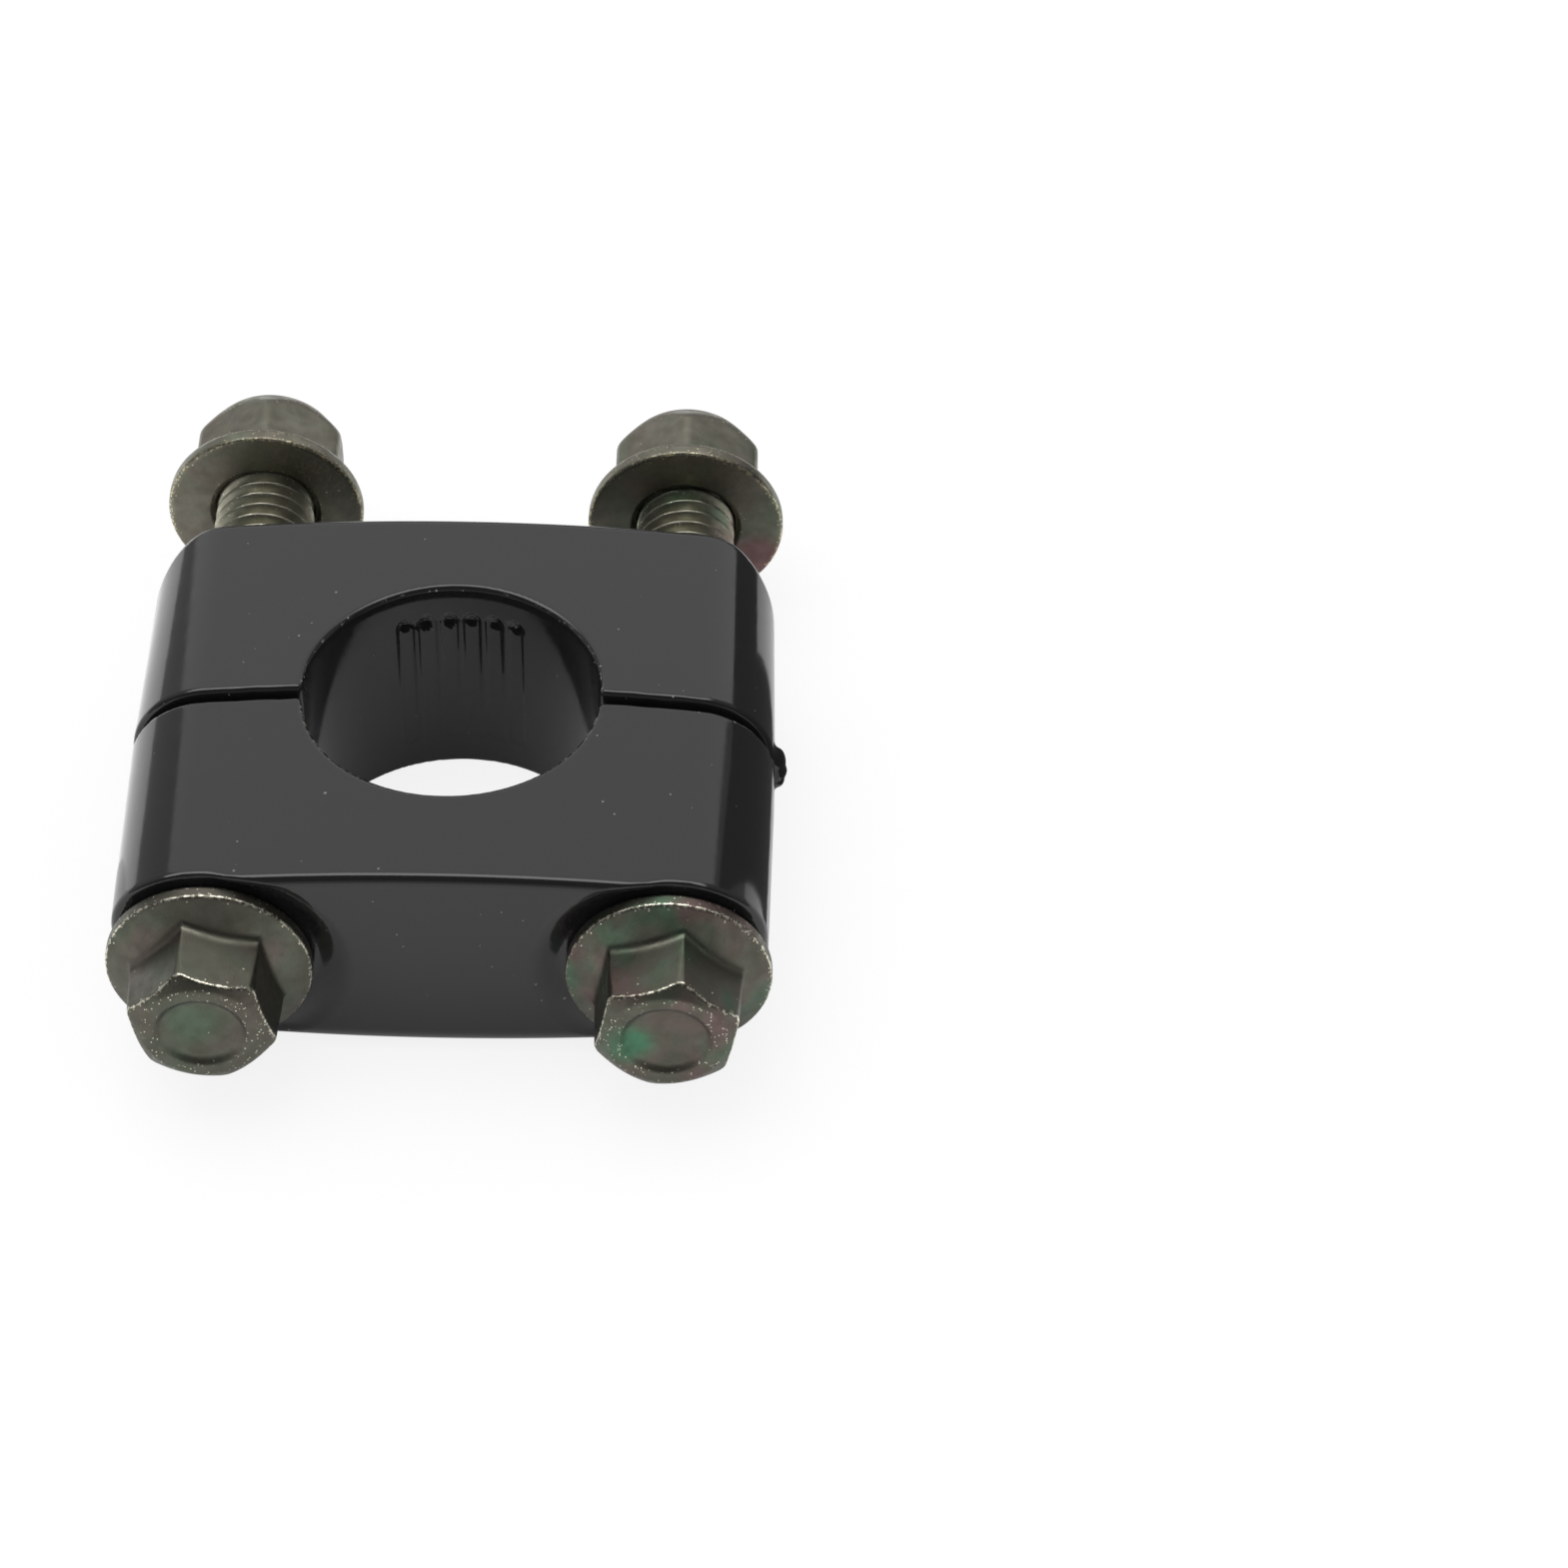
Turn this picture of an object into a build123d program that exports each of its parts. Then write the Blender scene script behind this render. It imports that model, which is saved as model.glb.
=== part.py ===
from build123d import *
from math import radians, sqrt, tan
import os

# A two-piece handlebar clamp lying on its side, in millimetres.
# Z runs along the bar that the clamp grips, Y along its bolts, X from bolt to bolt.
# The origin is on the bar's axis, half way up the clamp.

# Bar and body
bar_diameter = 22.2
clamp_thickness = 18.6
bore_to_hole_wall = 1.35
hole_to_side_wall = 3.15
cap_reach = 19.75
base_reach = 19.45
clamp_nip = 0.8
casting_draft = 0.9
crown_radius = 180.0
long_edge_radius = 6.5
foot_corner_radius = 4.5

# Edge breaks, rounded by the paint
outer_edge_break = 0.7
foot_edge_break = 0.3
joint_edge_break = 0.35

# Grip flutes in the base half's bore
flute_count = 6
flute_pitch_angle = 8.8
flute_cutter_radius = 0.8
flute_depth = 0.4
flute_end_margin = 2.8
flute_end_chamfer = 0.6

# Bolts: M8 with a small hexagon and a flange
bolt_length = 55.0
shank_diameter = 7.8
shank_tip_chamfer = 1.0
head_across_flats = 10.0
head_across_corners = 11.45
head_draft = 1.2
head_corner_draft = 3.2
head_height = 8.0
head_chamfer_depth = 0.85
head_end_diameter = 8.6
head_recess_diameter = 6.9
head_recess_depth = 0.5
head_recess_slope = 0.6
bolt_flange_diameter = 15.1
bolt_flange_rim = 1.0
bolt_flange_relief = 0.5
bolt_bearing_diameter = 13.2
flange_cone_angle = 28.0
rim_edge_break = 0.25

# Pockets in the cap for the bolt heads
pocket_depth = 0.85
pocket_clearance = 0.35
pocket_inward_shift = 1.7
pocket_draft = 12.0

# Nuts with a flange
nut_across_flats = 11.3
nut_across_corners = 12.8
nut_height = 8.7
nut_end_diameter = 10.0
nut_chamfer_angle = 59.0
nut_flange_diameter = 15.5
nut_flange_rim = 1.3
nut_countersink_diameter = 8.8
nut_gap_left = 10.15
nut_gap_right = 9.3

# Fits
hole_clearance = 0.4
thread_clearance = 0.05

# Turn of each hexagon about its own axis, as the fasteners were left
bolt_turn_left = 45.0
bolt_turn_right = 18.5
nut_turn = 30.0

# Worked out from the sizes above
bore_radius = bar_diameter / 2
half_thickness = clamp_thickness / 2
shank_radius = shank_diameter / 2
hole_radius = shank_radius + hole_clearance
bolt_x = bore_radius + bore_to_hole_wall + hole_radius
half_width = bolt_x + hole_radius + hole_to_side_wall
nut_bore_radius = shank_radius + thread_clearance
pocket_radius = bolt_flange_diameter / 2 + pocket_clearance
bearing_y = pocket_depth - cap_reach
cap_length = cap_reach - clamp_nip
bolt_centres = [(-bolt_x, 0), (bolt_x, 0)]
crown_drop = crown_radius - sqrt(crown_radius**2 - half_width**2)
foot_half_width = half_width - base_reach * tan(radians(casting_draft))
flute_spread = flute_pitch_angle * (flute_count - 1)
flute_centre_radius = bore_radius + flute_depth - flute_cutter_radius
flute_length = clamp_thickness - 2 * flute_end_margin
cone_rise = tan(radians(flange_cone_angle))

# Faces that the halves meet at, looking away from each half's own metal
cap_joint = Plane(origin=(0, -clamp_nip, 0), x_dir=(1, 0, 0), z_dir=(0, -1, 0))
base_joint = Plane(origin=(0, 0, 0), x_dir=(-1, 0, 0), z_dir=(0, 1, 0))

os.makedirs("parts", exist_ok=True)


def clamp_section(joint_plane):
    """Cross-section of a half: crowned top and bottom, straight sides, rounded corners."""
    shoulder = half_thickness - crown_drop
    with BuildSketch(joint_plane) as section:
        with BuildLine():
            ThreePointArc((-half_width, shoulder), (0, half_thickness), (half_width, shoulder))
            Line((half_width, shoulder), (half_width, -shoulder))
            ThreePointArc((half_width, -shoulder), (0, -half_thickness), (-half_width, -shoulder))
            Line((-half_width, -shoulder), (-half_width, shoulder))
        make_face()
        fillet(section.vertices(), long_edge_radius)
    return section.sketch


# Cap half: holds the bar down and carries the bolt heads
with BuildPart() as cap_half:
    extrude(clamp_section(cap_joint), amount=cap_length, taper=casting_draft)
    fillet(cap_half.faces().sort_by(Axis.Y)[0].edges(), outer_edge_break)
    # Bar bore
    with BuildSketch(Plane.XY):
        Circle(bore_radius)
    extrude(amount=half_thickness, both=True, mode=Mode.SUBTRACT)
    bore_wall = cap_half.faces().filter_by(GeomType.CYLINDER).sort_by(SortBy.AREA)[-1]
    bore_rims = bore_wall.edges().filter_by(GeomType.LINE, reverse=True)
    joint_edges = cap_half.faces().sort_by(Axis.Y)[-2:].edges()
    chamfer(joint_edges + bore_rims, joint_edge_break)
    # Bolt holes
    with BuildSketch(cap_joint):
        with Locations(*bolt_centres):
            Circle(hole_radius)
    extrude(amount=cap_reach, mode=Mode.SUBTRACT)
    # Pockets for the heads, wider towards the middle web and open at the sides
    with BuildSketch(Plane(origin=(0, bearing_y, 0), x_dir=(1, 0, 0), z_dir=(0, -1, 0))):
        for centre_x, centre_z in bolt_centres:
            inward = -pocket_inward_shift if centre_x > 0 else pocket_inward_shift
            with Locations((centre_x + inward / 2, centre_z)):
                SlotCenterToCenter(pocket_inward_shift, 2 * pocket_radius)
    extrude(amount=2 * pocket_depth, taper=-pocket_draft, mode=Mode.SUBTRACT)

# Cutter for one grip flute, with pointed ends that leave an arch in the bore's wall
with BuildPart() as flute_cutter:
    with BuildSketch(Plane.XZ):
        with Locations((0, flute_length / 2)):
            Rectangle(2 * flute_cutter_radius, flute_length)
        split(bisect_by=Plane.YZ)
    revolve(axis=Axis.Z)
    chamfer(flute_cutter.edges(), flute_end_chamfer)

# Base half: seats on the yoke with its far end
with BuildPart() as base_half:
    extrude(clamp_section(base_joint), amount=base_reach, taper=casting_draft)
    fillet(base_half.faces().sort_by(Axis.Y)[-1].edges(), foot_edge_break)
    # Corners at the foot
    with BuildSketch(Plane.XY) as foot_outline:
        with BuildLine():
            Polyline(
                (-half_width, 0),
                (-foot_half_width, base_reach),
                (foot_half_width, base_reach),
                (half_width, 0),
                close=True,
            )
        make_face()
        fillet(foot_outline.vertices().group_by(Axis.Y)[-1], foot_corner_radius)
    extrude(amount=half_thickness, both=True, mode=Mode.INTERSECT)
    # Bar bore
    with BuildSketch(Plane.XY):
        Circle(bore_radius)
    extrude(amount=half_thickness, both=True, mode=Mode.SUBTRACT)
    bore_wall = base_half.faces().filter_by(GeomType.CYLINDER).sort_by(SortBy.AREA)[-1]
    bore_rims = bore_wall.edges().filter_by(GeomType.LINE, reverse=True)
    joint_edges = base_half.faces().sort_by(Axis.Y)[:2].edges()
    chamfer(joint_edges + bore_rims, joint_edge_break)
    # Grip flutes
    with Locations((0, 0, -flute_length / 2)):
        with PolarLocations(
            flute_centre_radius,
            flute_count,
            start_angle=90 - flute_spread / 2,
            angular_range=flute_spread,
            endpoint=True,
        ):
            add(flute_cutter.part, mode=Mode.SUBTRACT)
    # Bolt holes
    with BuildSketch(base_joint):
        with Locations(*bolt_centres):
            Circle(hole_radius)
    extrude(amount=base_reach, mode=Mode.SUBTRACT)

for half, name in ((cap_half, "cap_half"), (base_half, "base_half")):
    half.part.label = name
    export_step(half.part, f"parts/{name}.step")

# Bolts: head towards the viewer, shank through both halves
for name, centre_x, turn in (
    ("bolt_left", -bolt_x, bolt_turn_left),
    ("bolt_right", bolt_x, bolt_turn_right),
):
    bearing_point = (centre_x, bearing_y, 0)
    bolt_axis = Axis(bearing_point, (0, -1, 0))
    end_plane = Plane(origin=bearing_point, x_dir=(1, 0, 0), z_dir=(0, -1, 0))
    profile_plane = Plane(origin=bearing_point, x_dir=(1, 0, 0), z_dir=(0, 0, -1))
    corner_radius = head_across_corners / 2
    end_radius = head_end_diameter / 2
    corner_top = head_height - head_chamfer_depth
    rim_radius = bolt_flange_diameter / 2
    rim_top = bolt_flange_relief + bolt_flange_rim
    cone_top = rim_top + (rim_radius - corner_radius) * cone_rise
    worn_radius = corner_radius - (corner_top - cone_top) * tan(radians(head_corner_draft))
    recess_radius = head_recess_diameter / 2
    with BuildPart() as bolt:
        # Forged hexagon: drafted, its corners taken off towards the end, and chamfered there
        with BuildSketch(end_plane):
            RegularPolygon(head_across_flats / 2, 6, major_radius=False, rotation=turn)
        extrude(amount=head_height, taper=head_draft)
        with BuildSketch(profile_plane):
            with BuildLine():
                Polyline(
                    (0, 0),
                    (corner_radius, 0),
                    (corner_radius, cone_top),
                    (worn_radius, corner_top),
                    (end_radius, head_height),
                    (0, head_height),
                    close=True,
                )
            make_face()
        revolve(axis=bolt_axis, mode=Mode.INTERSECT)
        # Flange with a relieved underside, and the shank
        with BuildSketch(profile_plane):
            with BuildLine():
                Polyline(
                    (0, cone_top),
                    (corner_radius, cone_top),
                    (rim_radius - rim_edge_break, rim_top + rim_edge_break * cone_rise),
                    (rim_radius, rim_top - rim_edge_break),
                    (rim_radius, bolt_flange_relief + rim_edge_break),
                    (rim_radius - rim_edge_break, bolt_flange_relief),
                    (bolt_bearing_diameter / 2, 0),
                    (shank_radius, 0),
                    (shank_radius, shank_tip_chamfer - bolt_length),
                    (shank_radius - shank_tip_chamfer, -bolt_length),
                    (0, -bolt_length),
                    close=True,
                )
            make_face()
        revolve(axis=bolt_axis)
        # Dished recess in the end of the head
        with BuildSketch(profile_plane):
            with BuildLine():
                Polyline(
                    (0, head_height),
                    (recess_radius, head_height),
                    (recess_radius - head_recess_slope, head_height - head_recess_depth),
                    (0, head_height - head_recess_depth),
                    close=True,
                )
            make_face()
        revolve(axis=bolt_axis, mode=Mode.SUBTRACT)
    bolt.part.label = name
    export_step(bolt.part, f"parts/{name}.step")

# Nuts: flange towards the base half
for name, centre_x, gap in (
    ("nut_left", -bolt_x, nut_gap_left),
    ("nut_right", bolt_x, nut_gap_right),
):
    bearing_point = (centre_x, base_reach + gap, 0)
    nut_axis = Axis(bearing_point, (0, 1, 0))
    end_plane = Plane(origin=bearing_point, x_dir=(-1, 0, 0), z_dir=(0, 1, 0))
    profile_plane = Plane(origin=bearing_point, x_dir=(1, 0, 0), z_dir=(0, 0, 1))
    corner_radius = nut_across_corners / 2
    end_radius = nut_end_diameter / 2
    corner_top = nut_height - (corner_radius - end_radius) * tan(radians(nut_chamfer_angle))
    rim_radius = nut_flange_diameter / 2
    cone_top = nut_flange_rim + (rim_radius - corner_radius) * cone_rise
    countersink_radius = nut_countersink_diameter / 2
    countersink_depth = countersink_radius - nut_bore_radius
    with BuildPart() as nut:
        # Hexagon, turned down at its corners and chamfered at its end
        with BuildSketch(end_plane):
            RegularPolygon(nut_across_flats / 2, 6, major_radius=False, rotation=nut_turn)
        extrude(amount=nut_height)
        with BuildSketch(profile_plane):
            with BuildLine():
                Polyline(
                    (0, 0),
                    (corner_radius, 0),
                    (corner_radius, corner_top),
                    (end_radius, nut_height),
                    (0, nut_height),
                    close=True,
                )
            make_face()
        revolve(axis=nut_axis, mode=Mode.INTERSECT)
        # Flange
        with BuildSketch(profile_plane):
            with BuildLine():
                Polyline(
                    (0, cone_top),
                    (corner_radius, cone_top),
                    (rim_radius - rim_edge_break, nut_flange_rim + rim_edge_break * cone_rise),
                    (rim_radius, nut_flange_rim - rim_edge_break),
                    (rim_radius, rim_edge_break),
                    (rim_radius - rim_edge_break, 0),
                    (0, 0),
                    close=True,
                )
            make_face()
        revolve(axis=nut_axis)
        # Bore, countersunk at both ends
        with BuildSketch(profile_plane):
            with BuildLine():
                Polyline(
                    (0, 0),
                    (countersink_radius, 0),
                    (nut_bore_radius, countersink_depth),
                    (nut_bore_radius, nut_height - countersink_depth),
                    (countersink_radius, nut_height),
                    (0, nut_height),
                    close=True,
                )
            make_face()
        revolve(axis=nut_axis, mode=Mode.SUBTRACT)
    nut.part.label = name
    export_step(nut.part, f"parts/{name}.step")
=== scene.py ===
import math

import bpy
import numpy as np
from mathutils import Matrix, Vector


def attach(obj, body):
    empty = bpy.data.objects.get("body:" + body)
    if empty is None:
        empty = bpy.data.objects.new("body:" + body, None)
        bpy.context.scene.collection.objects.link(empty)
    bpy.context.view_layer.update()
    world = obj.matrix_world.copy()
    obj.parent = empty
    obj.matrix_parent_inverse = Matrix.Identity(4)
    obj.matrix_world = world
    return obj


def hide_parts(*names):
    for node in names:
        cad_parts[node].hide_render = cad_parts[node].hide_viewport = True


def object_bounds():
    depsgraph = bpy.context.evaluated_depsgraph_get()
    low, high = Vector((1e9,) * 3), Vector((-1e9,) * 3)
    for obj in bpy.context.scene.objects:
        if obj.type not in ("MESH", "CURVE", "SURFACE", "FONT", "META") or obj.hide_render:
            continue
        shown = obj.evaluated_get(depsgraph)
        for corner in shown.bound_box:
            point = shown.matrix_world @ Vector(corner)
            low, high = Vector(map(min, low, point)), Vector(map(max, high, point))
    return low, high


bl_info = {
    "name": "Handlebar Clamp Finish",
    "version": (1, 0, 0),
    "blender": (4, 5, 0),
    "location": "3D View > Sidebar > Bar Clamp",
    "description": "Paints and threads a two-piece handlebar clamp and sets up its studio",
    "category": "Object",
}

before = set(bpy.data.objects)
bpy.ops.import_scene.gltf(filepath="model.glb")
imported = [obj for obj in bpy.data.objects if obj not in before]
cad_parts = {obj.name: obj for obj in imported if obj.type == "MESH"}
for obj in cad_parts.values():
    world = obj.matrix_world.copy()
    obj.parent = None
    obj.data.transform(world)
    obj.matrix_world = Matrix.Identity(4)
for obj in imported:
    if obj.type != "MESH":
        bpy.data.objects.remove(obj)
CAD_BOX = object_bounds()

MM = 0.001


# Sizes of the clamp, in millimetres, as the solids have them

BORE_RADIUS = 11.1
HALF_THICKNESS = 9.3
HALF_WIDTH = 24.2
CROWN_RADIUS = 180.0
LONG_EDGE_RADIUS = 6.5
DRAFT = math.radians(0.9)
CAP_REACH = 19.75
BASE_REACH = 19.45
JOINT_GAP = 0.8
BOLT_X = 16.75
HOLE_RADIUS = 4.3
BEARING_Y = -18.9
POCKET_RADIUS = 7.9
POCKET_SHIFT = 1.7
POCKET_DRAFT = math.radians(12.0)
FOOT_CORNER_RADIUS = 4.5
FLUTE_ANGLES = [math.radians(8.8 * (i - 2.5)) for i in range(6)]
FLUTE_HALF_WIDTH = 0.7
FLUTE_HALF_LENGTH = 6.5

BOLT_LENGTH = 55.0
HEAD_HEIGHT = 8.0
HEAD_FLATS = 10.0
HEAD_CORNERS = 11.45
HEAD_DRAFT = math.tan(math.radians(1.2))
HEAD_CORNER_DRAFT = math.tan(math.radians(3.2))
HEAD_CHAMFER_DEPTH = 0.85
HEAD_END_RADIUS = 4.3
RECESS_RADIUS = 3.45
RECESS_DEPTH = 0.5
RECESS_SLOPE = 0.6
FLANGE_RADIUS = 7.55
FLANGE_RELIEF = 0.5
FLANGE_RIM = 1.0
BEARING_RADIUS = 6.6
SHANK_RADIUS = 3.9
CONE_RISE = math.tan(math.radians(28.0))
HEAD_FOOT = FLANGE_RELIEF + FLANGE_RIM + (FLANGE_RADIUS - HEAD_CORNERS / 2) * CONE_RISE
THREAD_PITCH = 1.25
THREAD_START = BOLT_LENGTH - 22.0
THREAD_RUN_OUT = 2 * THREAD_PITCH
THREAD_DEPTH = 0.6134 * THREAD_PITCH
NUT_HEIGHT = 8.7
NUT_FLATS = 11.3
NUT_CORNERS = 12.8
NUT_CHAMFER_RISE = math.tan(math.radians(59.0))
NUT_END_RADIUS = 5.0
NUT_FLANGE_RADIUS = 7.75
NUT_FLANGE_RIM = 1.3
NUT_BORE_RADIUS = 3.95
NUT_COUNTERSINK_RADIUS = 4.4


# The paint on the halves, in millimetres

JOINT_SET_BACK = 0.04
JOINT_ROUNDING = 0.45
WANDER_REACH = 0.045
WANDER_LENGTH = 2.6
WANDER_WAVES = 6
BORE_ROUNDING = 0.2
BORE_ROUNDING_ABOVE = 0.22
HOLE_ROUNDING = 0.3
NOSE_ROUNDING = 0.75
NOSE_ROUNDING_BELOW = 1.35
FOOT_ROUNDING = 0.4
FOOT_CORNER_ROUNDING = 0.9
POCKET_FLOOR_ROUNDING = 0.4
LIP_RADIUS = 0.8
LIP_SOFTNESS = 1.5
LIP_SPREAD = 1.4
RIM_FLARE = 0.22
RIM_FLARE_START = 8.0
FLUTE_RUN_DEPTH = 0.16
FLUTE_RUN_WALL = 0.26
PIT_Z = 5.75
PIT_DEPTH = 0.4
PIT_RADIUS = 0.74
PIT_STRETCH_UP = 0.78
PIT_STRETCH_DOWN = 1.5
PAINT_DROPS = (
    ((24.2, 0.86, 1.9), 0.72), ((24.4, 0.84, 1.3), 0.62),
    ((24.4, 0.86, 0.4), 0.74), ((24.3, 0.84, -0.5), 0.66),
)
PAINT_BLEND = 0.45
CHIP_ROUNDING = 0.08
RIM_CHIPS = (
    ((11.35, -2.1, 9.35), (0.34, 1.2, 0.45)), ((11.3, -3.1, 9.2), (0.3, 0.7, 0.3)),
    ((5.5, 10.1, 9.45), (0.9, 0.6, 0.35)), ((-9.4, 6.3, 9.45), (0.4, 0.3, 0.2)),
)
# Widths of the edge marks for worn paint and painted highlights, at the bore's rim and at the
# split.
RIM_MARK = 0.36
SPLIT_MARK = 0.34
MARK_FADE = 0.16

CAP_CORNERS = ((-24.4, -19.9, -9.4), (24.4, -0.6, 9.4))
BASE_CORNERS = ((-24.46, -0.3, -9.4), (25.9, 19.6, 9.4))


# The studio: cards in millimetres, lamp in metres, camera as fitted to the photograph

WINDOW_PANEL = ((-183, 216, 52), (134, 141, 52), (134, 141, 470), (-183, 216, 470))
FLAG_X = 29.5
FLAG_OUTLINE = (
    (-10, -HALF_THICKNESS), (16, -HALF_THICKNESS), (16, 4), (42, 4), (42, 11), (4, 12.5),
    (-10, 16.5),
)
FLAG_COLOUR = (0.02, 0.02, 0.02)
FLAG_GLOW = 0.08
SHEET_OUTLINE = ((-27, -2), (-27, 22), (-33, 40), (-120, 700), (-700, 700), (-700, 420))
SHEET_HEIGHT = 0.3 - HALF_THICKNESS
LAMP_SIZE = 0.5
LAMP_PLACE = (-0.15, 0.1, 0.6)
FLOOR_REACH = 4.0
CAMERA_PITCH = math.radians(44.525)
CAMERA_YAW = math.radians(0.152)
CAMERA_ROLL = math.radians(1.121)
CAMERA_OFFSET = Vector((-24.92, -6.537, 392.44))
SENSOR_WIDTH = 36.0
PHOTO_WIDTH = 1569.0


# Distance fields: negative inside the metal, positive outside

def rounded_meet(a, b, radius):
    """Surface where two faces meet with a rounded edge."""
    u = np.maximum(radius + a, 0.0)
    v = np.maximum(radius + b, 0.0)
    return np.minimum(np.maximum(a, b), -radius) + np.hypot(u, v)


def block_section(x, z):
    """Cross-section of both halves: crowned top and bottom, straight sides, rounded corners."""
    ax = np.abs(x)
    az = np.abs(z)
    crown_centre = HALF_THICKNESS - CROWN_RADIUS
    corner_x = HALF_WIDTH - LONG_EDGE_RADIUS
    corner_z = crown_centre + math.sqrt((CROWN_RADIUS - LONG_EDGE_RADIUS) ** 2 - corner_x**2)
    crown = np.hypot(ax, az - crown_centre) - CROWN_RADIUS
    side = ax - HALF_WIDTH
    corner = np.hypot(ax - corner_x, az - corner_z) - LONG_EDGE_RADIUS
    beyond_crown = (ax - corner_x) * (corner_z - crown_centre) > corner_x * (az - corner_z)
    in_corner = (ax > corner_x) & (az > corner_z) & beyond_crown
    return np.where(in_corner, corner, np.maximum(crown, side))


def slot_distance(x, z, centre_x):
    """Distance to a head pocket's slot, from the bolt's axis towards the middle web."""
    low, high = sorted((centre_x, centre_x - math.copysign(POCKET_SHIFT, centre_x)))
    return np.hypot(x - np.clip(x, low, high), z) - POCKET_RADIUS


def smooth_step(value):
    value = np.clip(value, 0.0, 1.0)
    return value * value * (3.0 - 2.0 * value)


def soft_least(a, b, blend):
    """The lesser of two values, blended where they are nearly equal."""
    share = np.clip(0.5 + 0.5 * (b - a) / blend, 0.0, 1.0)
    return b * (1 - share) + a * share - blend * share * (1 - share)


def edge_wander(p, seed):
    """Slow uneven shift of a joint face, as thick paint leaves it."""
    rng = np.random.default_rng(seed)
    total = np.zeros(len(p))
    for _ in range(WANDER_WAVES):
        direction = rng.normal(size=3)
        direction /= np.linalg.norm(direction)
        wave = rng.uniform(0.6, 1.8) * 2 * math.pi / WANDER_LENGTH
        total += np.sin(p @ direction * wave + rng.uniform(0, 2 * math.pi))
    return total * WANDER_REACH / WANDER_WAVES


def drafted_sides(x, z, depth):
    """A half's sides, drawn in with the depth from its joint face."""
    return (block_section(x, z) + depth * math.tan(DRAFT)) * math.cos(DRAFT)


def cut_joint_and_bore(p, body, joint, bore, seed):
    """Cuts a half at its joint face and then at the bore, with the paint's rounded edges."""
    body = rounded_meet(body, joint + JOINT_SET_BACK + edge_wander(p, seed), JOINT_ROUNDING)
    upper = smooth_step(p[:, 2] / 5.0 + 1.0)
    return rounded_meet(body, bore, BORE_ROUNDING + BORE_ROUNDING_ABOVE * upper)


def chip(p, body):
    """Takes the small chips out of the bore's upper rim."""
    for centre, reach in RIM_CHIPS:
        reach = np.array(reach)
        inside = (1.0 - np.linalg.norm((p - np.array(centre)) / reach, axis=1)) * reach.min()
        body = rounded_meet(body, inside, CHIP_ROUNDING)
    return body


def cap_field(p):
    """The painted cap half, with the pockets for the bolts' heads."""
    x, y, z = p[:, 0], p[:, 1], p[:, 2]
    nose_radius = NOSE_ROUNDING + NOSE_ROUNDING_BELOW * np.clip(-z / 5.0, 0.0, 1.0)
    body = rounded_meet(drafted_sides(x, z, -JOINT_GAP - y), -CAP_REACH - y, nose_radius)
    body = cut_joint_and_bore(p, body, y + JOINT_GAP, BORE_RADIUS - np.hypot(x, y), 11)
    out = BEARING_Y - y
    left_over = np.clip(CAP_REACH + BEARING_Y - out, 0.0, 1.0)
    for centre in (-BOLT_X, BOLT_X):
        from_axis = np.hypot(x - centre, z)
        wall = slot_distance(x, z, centre) - out * math.tan(POCKET_DRAFT)
        inward = (centre - x) * math.copysign(1.0, centre) / np.maximum(from_axis, 0.1)
        wall = wall + LIP_SOFTNESS * smooth_step(inward * LIP_SPREAD) * left_over
        pocket = rounded_meet(wall * math.cos(POCKET_DRAFT), -out, POCKET_FLOOR_ROUNDING)
        body = rounded_meet(body, -pocket, LIP_RADIUS)
        body = rounded_meet(body, HOLE_RADIUS - from_axis, HOLE_ROUNDING)
    return chip(p, body)


def flute_depth(x, y, z):
    """How far the painted flutes lie below the bore's wall.

    The paint has run down: each flute is open at its upper end and nearly filled at its lower one.
    """
    along = np.arctan2(x, y) * BORE_RADIUS
    draw = np.random.default_rng(71)
    depth = np.zeros(len(x))
    filled = smooth_step((FLUTE_HALF_LENGTH - z) / (2 * FLUTE_HALF_LENGTH))
    beyond = np.maximum(np.abs(z) - FLUTE_HALF_LENGTH + FLUTE_HALF_WIDTH, 0.0)
    lengthwise = (z - PIT_Z) / np.where(z > PIT_Z, PIT_STRETCH_UP, PIT_STRETCH_DOWN)
    for angle in FLUTE_ANGLES:
        size, fill = draw.uniform(0.92, 1.06), draw.uniform(0.75, 1.1)
        lean = draw.uniform(-0.1, 0.1)
        across = along - angle * BORE_RADIUS
        run = smooth_step((FLUTE_HALF_WIDTH + 0.06 - np.hypot(across, beyond)) / FLUTE_RUN_WALL)
        run = run * FLUTE_RUN_DEPTH * fill * (1.0 - 0.75 * filled)
        away = np.hypot(across - lean, lengthwise) / (PIT_RADIUS * size)
        pit = PIT_DEPTH * np.clip(1.05 - away, 0.0, 0.9)
        depth = np.maximum(depth, np.maximum(run, pit))
    return depth


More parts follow.
